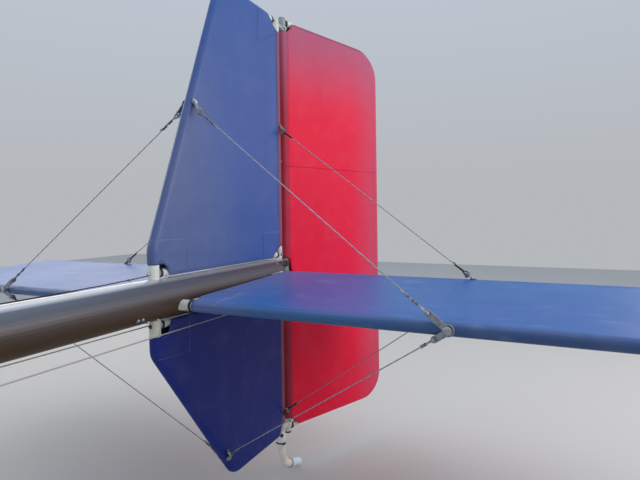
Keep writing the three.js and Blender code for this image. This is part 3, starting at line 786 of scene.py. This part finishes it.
# Skid: a pipe with a bottle neck over the post's end, bent aft, tied, with a rim at its mouth
knee, bendAt, heel, mouth = at(54, 0, -645), at(45, 0, -704), at(10, 0, -724), at(-11, 0, -735)
neck = [[584, 13.4], [591, 13.5], [594, 14.2], [600, 15.4], [606, 16.8], [613, 17.4], [620, 17.5]]
route = [at(postAhead + (z - 584) * 7 / 61, 0, -z) for z, _ in neck] + [knee]
for t in np.linspace(0.08, 1, 13):
    route.append(knee * (1 - t) ** 2 + bendAt * 2 * t * (1 - t) + heel * t ** 2)
route.append(mouth)
bend = len(route) - len(neck)
radii = [r for _, r in neck] + [17.5 - 3.0 * smooth(k / (bend - 1), 0, 0.6) for k in range(bend)]
makePiece("skid_pipe_with_neck",
          [(sweep(route, radii, 36, side=toPort), pipePlastic)], ["skid_pipe"])
tieAt, skidRun = at(51.6, 0, -624), (mouth - heel).normalized()
tieEnd = [tieAt + Vector(p) for p in ((13, 19, -2), (16, 24, 0), (18, 30, 5))]
makePiece("skid_ties", [
    saddleRing(tieAt, (0.11, 0, -0.99), 17.6, 5, 1.2, tiePlastic),
    (plate([(-4, -3.5), (4, -3.5), (4, 3.5), (-4, 3.5)], 5, tieAt + Vector((10, 18, -2)), forward, upward),
     tiePlastic),
    (sweep(tieEnd, [1.4, 1.1, 0.8], 6), tiePlastic),
    saddleRing(mouth - skidRun * 3.6, skidRun, 15.2, 4, 1.2, tiePlastic),
    # A black disc on the neck stands in for a pin hole: painted shade
    (turned([[-2, 6.5], [1.2, 6.2], [1.8, 0]], at(60.5, 9.4, -597), (0.62, 0.72, 0.3), 18), tiePlastic),
])

# Hinge bolts through the arms, and a collar under each rudder ring
armBoltAhead = 26
hingeExtras = {
    "top": [hexBolt(at(4, 15.4, 873), (0.25, 0.97, 0), 6, 3.5, 9)],
    # A dark disc on the barrel stands in for a hole: painted shade
    "bottom": [(turned([[0, 3], [0.8, 3], [1, 0]], at(6.6, 14.4, -563), (0.42, 0.91, 0), 14), saddlePlastic)],
    "boom": [],
}
for name, z, height, finish in (("top", 868, 12, greyPlastic), ("bottom", -580, 24, stubPlastic),
                                ("boom", 22, 16, brownPlastic)):
    makePiece(f"rudder_hinge_bolts_{name}", [
        hexBolt(at(armBoltAhead, 0, z + height), upward, 7, 4, 12),
        hexNut(at(armBoltAhead, 0, z), -upward, 7, 4, 3),
        saddleRing(at(0, 0, z - 4.4), upward, 13.6, 4, 2.2, finish),
        *hingeExtras[name],
    ])
for side, out in sides.items():
    for name, y in (("root", 84), ("middle", 600), ("tip", 1168)):
        middle = at(elevatorAhead + armBoltAhead, out * y, elevatorZ)
        makePiece(f"elevator_hinge_bolts_{name}_{side}",
                  [hexBolt(middle + toPort * 5.0 * k, toPort * k, 8, 4, 12) for k in (1, -1)])

# Stays: stranded wire with a thimble, a loop and pressed sleeves at each end, between flat tangs. A row has the
# fin, the stabiliser's edge, the height on the fin, how far the ears reach, the sleeves and the finishes of
# the sleeves, the loops and the tang.
stayRadius, thimble, pressedLength, pressedRadius = 1.35, 17, 15, 3.4
earWidth, earThick, pinBack = 14, 2.4, 7
wingEndY = {"front": 700, "rear": 683}
stayRows = [
    ("upper", "front", 509, (52, 57), (33, 56), sleeveZinc, tangSteel, tangSteel),
    ("upper", "rear", 520, (40, 26), (22, 38), sleeveCopper, darkSteel, tangSteel),
    ("lower", "front", 522, (40, 42), (28,), sleeveZinc, darkSteel, tangSteel),
    ("lower", "rear", 521, (40, 26), (26, 46), sleeveCopper, darkSteel, sleeveCopper),
]


def finNose(plan, height):
    low, high = plan["low"], plan["high"]
    share = (height - low[1]) / (high[1] - low[1])
    slope = math.atan2(low[0] - high[0], high[1] - low[1])
    return at(low[0] + share * (high[0] - low[0]) - rollRadius / math.cos(slope), 0, plan["up"] * height)


def wingEnd(edge, out, up):
    if edge == "front":
        return noseAt(out * wingEndY[edge]) + Vector((rollRadius + 6.5, 0, 2 * up))
    return at(sparAhead, out * wingEndY[edge], up * (rollRadius + 2.5))


def ear(start, eye, normal, finish=tangSteel):
    run = (eye - start).normalized()
    length, half = (eye - start).length, earWidth / 2
    outline = [(-1, -half), (length - half, -half)]
    outline += [(length - half + half * math.sin(a), -half * math.cos(a))
                for a in (math.radians(degrees) for degrees in range(20, 180, 20))]
    outline += [(length - half, half), (-1, half)]
    return plate(outline, earThick, start, run, normal.cross(run).normalized()), finish


def stayEnd(pin, aim, normal, sleeves, sleeveFinish, loopFinish):
    run = (aim - pin).normalized()
    across = normal.cross(run).normalized().cross(run).normalized()
    # A teardrop loop of wire round a thimble, from the pin along the wire
    drop = [(-0.18, 0.0), (-0.12, 0.2), (0.08, 0.3), (0.32, 0.3), (0.62, 0.2), (1.0, 0.05)]
    drop += [(u, -v) for u, v in reversed(drop[1:])]
    loop = [pin + run * thimble * u + across * thimble * v for u, v in drop]
    wire = [p + (p - pin - run * thimble * 0.3).normalized() * 1.9 for p in loop]
    parts = [
        (sweep(loop, 1.9, 10, closed=True), loopFinish),
        (sweep(wire, 1.5, 8, closed=True), stayWire),
        (turned([[-4.6, 4.4], [-4.2, 5.2], [4.2, 5.2], [4.6, 4.4]], pin, normal, 20), boltSteel),
        hexBolt(pin + normal * 4.2, normal, 8, 4.5, 11),
        hexNut(pin - normal * 4.2, -normal, 8, 4, 3),
    ]
    r, half = pressedRadius, pressedLength / 2
    rows = [[-half, 2.2], [-half + 0.7, r], [-half + 4, r], [-half + 5, r * 0.86], [half - 5, r * 0.86],
            [half - 4, r], [half - 0.7, r], [half, 2.2]]
    parts += [(turned(rows, pin + run * distance, run, 16), sleeveFinish) for distance in sleeves]
    last = sleeves[-1] + half
    tail = normal.normalized() * 2.9
    parts.append((sweep([pin + run * thimble * 0.9 + tail * 0.4, pin + run * (last - 4) + tail * 0.9,
                         pin + run * (last + 9) + tail * 1.3], 1.4, 8), stayWire))
    return parts


# A strip bent round a tube: the run is along the tube, the mouth opens at "openWay"
def bentBand(middle, run, openWay, inner, reachDegrees):
    half, outer, steps = 8, inner + 2.2, 22
    across = run.cross(openWay)
    points = []
    for k in range(steps + 1):
        turn = math.radians(reachDegrees * (2 * k / steps - 1))
        direction = -openWay * math.cos(turn) + across * math.sin(turn)
        points += [middle + run * along + direction * radius
                   for along, radius in ((-half, inner), (-half, outer), (half, outer), (half, inner))]
    return points, ringFaces(steps + 1, 4)


wingEars = {}
for word, edge, height, reaches, *endings, tangFinish in stayRows:
    plan = finPlan["upper_fin" if word == "upper" else "ventral_fin"]
    up, front = plan["up"], edge == "front"
    middle = finNose(plan, height) if front else at(postAhead, 0, up * height)
    if front:
        # A bolt through the leading edge with a washer at each end
        outer = rollRadius + 3.0
        parts = [(turned([[outer - 2.4, 9], [outer, 9]], middle, toPort * k), tangSteel) for k in (1, -1)]
        parts += [(turned([[-outer, 4], [outer, 4]], middle, toPort, 16), boltSteel),
                  hexBolt(middle + toPort * outer, toPort, 10, 5.5, 15),
                  hexNut(middle - toPort * outer, -toPort, 10, 5, 4)]
    else:
        outer = tubeRadius + 2.7
        parts = [(bentBand(middle, upward, forward, 13.8, 90), tangFinish)]
    for side, out in sides.items():
        end = wingEnd(edge, out, up)
        brim = middle + toPort * out * outer
        eye, wingEye = towards(middle, end, reaches[0]), towards(end, middle, reaches[1])
        along = (eye - brim).normalized()
        facing = Vector((0, along.z, -along.y)).normalized() if front else upward
        parts.append(ear(brim, eye, facing, tangFinish))
        wingEars.setdefault((side, edge), []).append((end, wingEye))
        pins = [towards(eye, middle, pinBack), towards(wingEye, end, pinBack)]
        run = (pins[1] - pins[0]).normalized()
        normals = [(n - run * n.dot(run)).normalized() for n in (facing, forward if front else upward)]
        parts += stayEnd(pins[0], wingEye, normals[0], *endings)
        wire = [pins[0] + (pins[1] - pins[0]) * (0.02 + 0.96 * k / 60) for k in range(61)]
        strand = makePiece(
            f"stay_wire_{word}_{edge}_{side}",
            [(sweep(wire, stayRadius, 12), stayWire), *stayEnd(pins[1], eye, normals[1], *endings)],
            [f"stay_{word}_{edge}_{side}"])
        unwrapWire(strand, pins)
    makePiece(f"stay_tang_{word}_{edge}_fittings", parts, [f"stay_tang_{word}_{edge}"])

for side, out in sides.items():
    face = noseAt(out * wingEndY["front"]) + forward * rollRadius
    makePiece(f"stay_tang_front_{side}_plates", [
        *(ear(end, eye, forward) for end, eye in wingEars[(side, "front")]),
        (turned([[0, 13.2], [1.6, 13.2], [2.2, 12.6], [2.2, 6]], face, forward, 32), tangSteel),
        (turned([[1, 6], [5.4, 6]], face, forward, 20), saddlePlastic),
        (turned([[7.6, 8.8], [9.4, 8.8], [10.8, 7.4], [11.6, 4.4], [11.8, 0]], face, forward, 32), boltSteel),
    ], [f"stay_tang_front_{side}"])

    middle, inner = at(sparAhead, out * wingEndY["rear"]), rollRadius + 0.6
    makePiece(f"stay_tang_rear_{side}_band", [
        (bentBand(middle, toPort, forward, inner, 100), tangSteel),
        *(ear(end, eye, upward) for end, eye in wingEars[(side, "rear")]),
        hexBolt(middle - forward * (inner + 2), -forward, 8, 4.5, 11),
    ], [f"stay_tang_rear_{side}"])
print("fittings made")


# Control cables: taut and straight from the boom's front to the rudder's horn
def cablePath(points, steps):
    made = []
    for start, end in zip(points[:-1], points[1:]):
        made += [start + (end - start) * k / steps for k in range(steps)]
    return made + [points[-1]]


# The cable's last bit, from the join to the horn, is a separate piece that rides no body
cableRadius, bendLength = 1.5, 96
hornReach, hornZ = 52, -79
frontAhead, frontReach, frontZ = 1188, 53, -74
shank = [[8, 3.2], [9, 4.0], [16, 3.8], [23, 3.6], [30, 3.4], [37, 3.0], [44, 2.6], [46, 1.8]]
fork = [(-6, -4.5), (8, -4.5), (13, -3), (13, 3), (8, 4.5), (-6, 4.5), (-8, 0)]
forkPin = [[-6.5, 5], [-5.5, 5.4], [-4.8, 3.1], [5, 3.1], [5.4, 5.2], [6.6, 4.6]]
for side, out in sides.items():
    hornEye, front = onRudder(0, hornZ, out * hornReach), at(frontAhead, out * frontReach, frontZ)
    join = towards(hornEye, front, bendLength)
    aim = (join - hornEye).normalized()
    makePiece(f"rudder_cable_{side}",
              [(sweep(cablePath([front, join], 30), cableRadius, 10), cableWire)])
    rear = makePiece(f"rudder_cable_rear_{side}", [
        (sweep(cablePath([join, hornEye], 50), cableRadius, 10), cableWire),
        (turned(shank, hornEye, aim, 16), tangSteel),
    ], body=None)
    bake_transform(rear)
    makePiece(f"rudder_cable_fork_{side}", [
        (plate(fork, 1.6, hornEye + upward * 2.9, aim, upward.cross(aim)), tangSteel),
        (turned(forkPin, hornEye, upward, 16), boltSteel),
    ], body="rudder")
    # An eye on a swaged shank at the boom joint
    frontRun = (front - join).normalized()
    eye = [front + frontRun * (6 + 5 * math.cos(a)) + upward * (5 * math.sin(a))
           for a in np.linspace(0, 2 * math.pi, 20)[:-1]]
    makePiece(f"cable_front_eye_{side}", [
        (turned([[-34, 1.9], [-32, 3.1], [0, 3.3], [1.4, 2.4]], front, frontRun, 16), tangSteel),
        (sweep(eye, 1.5, 8, closed=True), tangSteel),
    ])

# A thin line along the top of the boom, tied to the upper foot's bolt
topLine = [at(1180, 3, 52.8), at(934, 2, 54.1), at(809, 1, 55.9), at(726, 0, 58.3), at(671, 0, 61)]
makePiece("boom_top_line", [
    (sweep(cablePath(topLine, 16), 1.3, 8), darkLine),
    (turned([[-5, 2.6], [5, 2.6]], topLine[3], (-1, 0, 0.05), 12), sleeveZinc),
])

# Stitches: a Geometry Nodes tree lays short threads along every seam
seamSpacing, seamLift, stitchSpacing, threadRadius, stitchLength = 9, 1.0, 5.0, 0.35, 3.4
stitchTree = bpy.data.node_groups.new("stitchRow", "GeometryNodeTree")
stitchTree.interface.new_socket("Geometry", in_out="INPUT", socket_type="NodeSocketGeometry")
stitchInputs = [
    stitchTree.interface.new_socket(name, in_out="INPUT", socket_type="NodeSocket" + kind).identifier
    for name, kind in (("Stitch spacing", "Float"), ("Thread radius", "Float"), ("Stitch length", "Float"),
                       ("Thread", "Material"))]
stitchTree.interface.new_socket("Geometry", in_out="OUTPUT", socket_type="NodeSocketGeometry")
entry = addNode(stitchTree, "NodeGroupInput", give=None)
line = addNode(stitchTree, "GeometryNodeMeshToCurve", {"Mesh": entry["Geometry"]})
spread = addNode(stitchTree, "GeometryNodeResampleCurve", {"Curve": line, "Length": entry["Stitch spacing"]},
                 mode="LENGTH")
run = addNode(stitchTree, "GeometryNodeInputTangent")
turn = addNode(stitchTree, "FunctionNodeAlignRotationToVector", {"Vector": run}, axis="Z")
thread = addNode(stitchTree, "GeometryNodeMeshCylinder", {
    "Vertices": 5, "Radius": entry["Thread radius"], "Depth": entry["Stitch length"]})
laid = addNode(stitchTree, "GeometryNodeInstanceOnPoints", {
    "Points": spread, "Instance": thread, "Rotation": turn})
real = addNode(stitchTree, "GeometryNodeRealizeInstances", {"Geometry": laid})
sewn = addNode(stitchTree, "GeometryNodeSetMaterial", {"Geometry": real, "Material": entry["Thread"]})
addNode(stitchTree, "NodeGroupOutput", {0: sewn}, None)

wingSeams = [[(485, 60), (485, 145), (619, 157)], [(489, 60), (489, 141), (604, 152)], [(129, 62), (129, 1172)],
             [(538, 71), (562, 76), (590, 90)], [(150, 84), (480, 84)]]
elevatorSeams = [[(16, 106), (16, 584)], [(16, 616), (16, 1150)], [(348, 240), (348, 1120)]]
seams = {
    "upper_fin": [
        [(544, 58), (544, 143), (655, 147)], [(548, 62), (548, 140), (655, 143)],
        [(167, 61), (167, 145), (64, 145)], [(181, 771), (85, 824), (76, 829)], [(181, 771), (181, 886)],
        [(112, 61), (606, 61)], [(65, 99), (65, 842)], [(69, 96), (69, 844)],
        [(640, 91), (630, 91), (617, 80), (615, 62)],
    ],
    "ventral_fin": [
        [(545, 58), (545, 155), (655, 149)], [(168, 590), (168, 494), (64, 490)],
        [(200, 530), (102, 540), (67, 541)], [(112, 61), (606, 61)], [(65, 99), (65, 550)],
        [(69, 96), (69, 554)], [(640, 96), (630, 96), (617, 84), (615, 62)],
    ],
    "port": wingSeams,
    "starboard": wingSeams,
    "rudder": [
        [(2, 386), (490, 385)], [(2, 402), (490, 401)], [(14, 66), (14, 856)], [(14, -104), (14, -562)],
        [(18, 60), (18, 858)], [(18, -104), (18, -560)], [(478, 780), (490, -480)],
    ],
    "elevator_port": elevatorSeams,
    "elevator_starboard": elevatorSeams,
}


# The seams of a panel, over both of its sides
def seamLines(owner):
    lines = []
    for row in seams[owner]:
        runs = [np.linspace(start, end, max(1, round(math.dist(start, end) / seamSpacing)), endpoint=False)
                for start, end in zip(row[:-1], row[1:])]
        flat = np.concatenate([*runs, [row[-1]]])
        lines += [panels[owner].on(flat, side, seamLift) for side in (1, -1)]
    return lines


for name, body, slotName, owners, thread in (
        ("fin_stitches", "tail_frame", "navy_cloth", ("upper_fin", "ventral_fin"), threadPale),
        ("stabiliser_stitches", "tail_frame", "blue_cloth", ("port", "starboard"), threadPale),
        ("rudder_stitches", "rudder", "red_cloth", ("rudder",), threadRed),
        ("elevator_stitches", "elevators", "blue_cloth", ("elevator_port", "elevator_starboard"), threadPale)):
    points, edges = [], []
    for path in (path for owner in owners for path in seamLines(owner)):
        edges += [(len(points) + k, len(points) + k + 1) for k in range(len(path) - 1)]
        points += [p * mm for p in path]
    mesh = bpy.data.meshes.new(name + "_line")
    mesh.from_pydata(points, edges, [])
    carrier = addObject(name + "_line", mesh)
    modifier = carrier.modifiers.new("stitches", "NODES")
    modifier.node_group = stitchTree
    for key, value in zip(stitchInputs, (stitchSpacing * mm, threadRadius * mm, stitchLength * mm, thread)):
        modifier[key] = value
    made = bpy.data.meshes.new_from_object(carrier.evaluated_get(bpy.context.evaluated_depsgraph_get()))
    bpy.data.objects.remove(carrier)
    made.name = name
    declare(addObject(name, made), body)
    print("stitches:", name, len(made.polygons), "faces")

# The CAD's own solids that stay: their finish, white nylon where none is named
finishes = {
    "boom": boomMetal, "boom_joint_spigot": tubePaint, "boom_end_cap": saddlePlastic,
    "upper_fin_root_tube": tubePaint, "ventral_fin_root_tube": tubePaint,
    "upper_fin_post": tubePaint, "ventral_fin_post": tubePaint, "stabiliser_rear_spar": tubePaint,
    "rudder_tube": rudderPaint, "rudder_horn": tangSteel, "rudder_hinge_top": greyPlastic,
    "rudder_hinge_boom": brownPlastic, "elevator_tube": tubePaint, "elevator_horn": tangSteel,
    "skid_shoe": shoePlastic,
}
for name, node in nodes.items():
    if not node.hide_render:
        node.data.materials.clear()
        node.data.materials.append(finishes.get(name, stubPlastic))
print("solids finished:", sum(not node.hide_render for node in nodes.values()))

# Studio: a pale backdrop, lighter above, a pale floor and wide soft lights: overhead, from port, a low glow
# from port rear and a long low strip to starboard that draws the boom's top line. Places are in metres.
for name, place, aim, size, watts, tint in (
        ("overhead", (-1.2, 0.5, 3.2), (-1.0, 0.4, 0), (4.0, 4.0), 40, "#eef4ff"),
        ("port_side", (-1.5, 3.4, 1.5), (-1.1, 0, 0.2), (2.6, 2.0), 45, "#fff4ee"),
        ("port_rear_glow", (-3.0, 2.9, 1.15), (-0.9, 0, 0.3), (4.2, 1.9), 27, "#fff0e4"),
        ("starboard_horizon", (-1.6, -3.6, 1.6), (-0.6, 0, 0.05), (6.5, 2.4), 74, "#fdf4ea")):
    light = bpy.data.lights.new(name, "AREA")
    light.shape = "RECTANGLE"
    light.size, light.size_y = size
    light.energy, light.color = watts, linear(tint)[:3]
    lamp = addObject(name, light)
    lamp.location = place
    lamp.rotation_euler = (Vector(aim) - Vector(place)).to_track_quat("-Z", "Y").to_euler()
    lamp.visible_camera = False

world = bpy.data.worlds.new("paleStudio")
scene.world = world
world.use_nodes = True
sky = world.node_tree
place = addNode(sky, "ShaderNodeTexCoord", give="Generated")
height = addNode(sky, "ShaderNodeSeparateXYZ", {"Vector": place}, "Z")
shade = mixed(sky, ranged(sky, height, 0.05, 0.9), linear("#c3c6ca"), linear("#d5e4fa"))
sky.links.new(shade, sky.nodes["Background"].inputs["Color"])
sky.nodes["Background"].inputs["Strength"].default_value = 0.85

camera = addObject("camera", bpy.data.cameras.new("camera"))
camera.matrix_world = Matrix((
    (-0.43038642, -0.05286095, 0.90109559, 0.3326),
    (0.90257138, -0.01247482, 0.43035948, 0.8753),
    (-0.01150821, 0.99852396, 0.05307977, 0.2050),
    (0, 0, 0, 1),
))
camera.data.sensor_width = 36
camera.data.lens = 26.917
camera.data.clip_start = 0.02
scene.camera = camera
scene.view_settings.view_transform = "Standard"

floorLevel, floorReach = -0.7745, 9
corners = [(x * floorReach, y * floorReach, floorLevel) for x, y in ((-1, -1), (1, -1), (1, 1), (-1, 1))]
floorMesh = bpy.data.meshes.new("floor")
floorMesh.from_pydata(corners, [], [(0, 1, 2, 3)])
floorMesh.materials.append(newMaterial("paleFloor", "#bdbbb6", 0.9)[0])
addObject("floor", floorMesh)
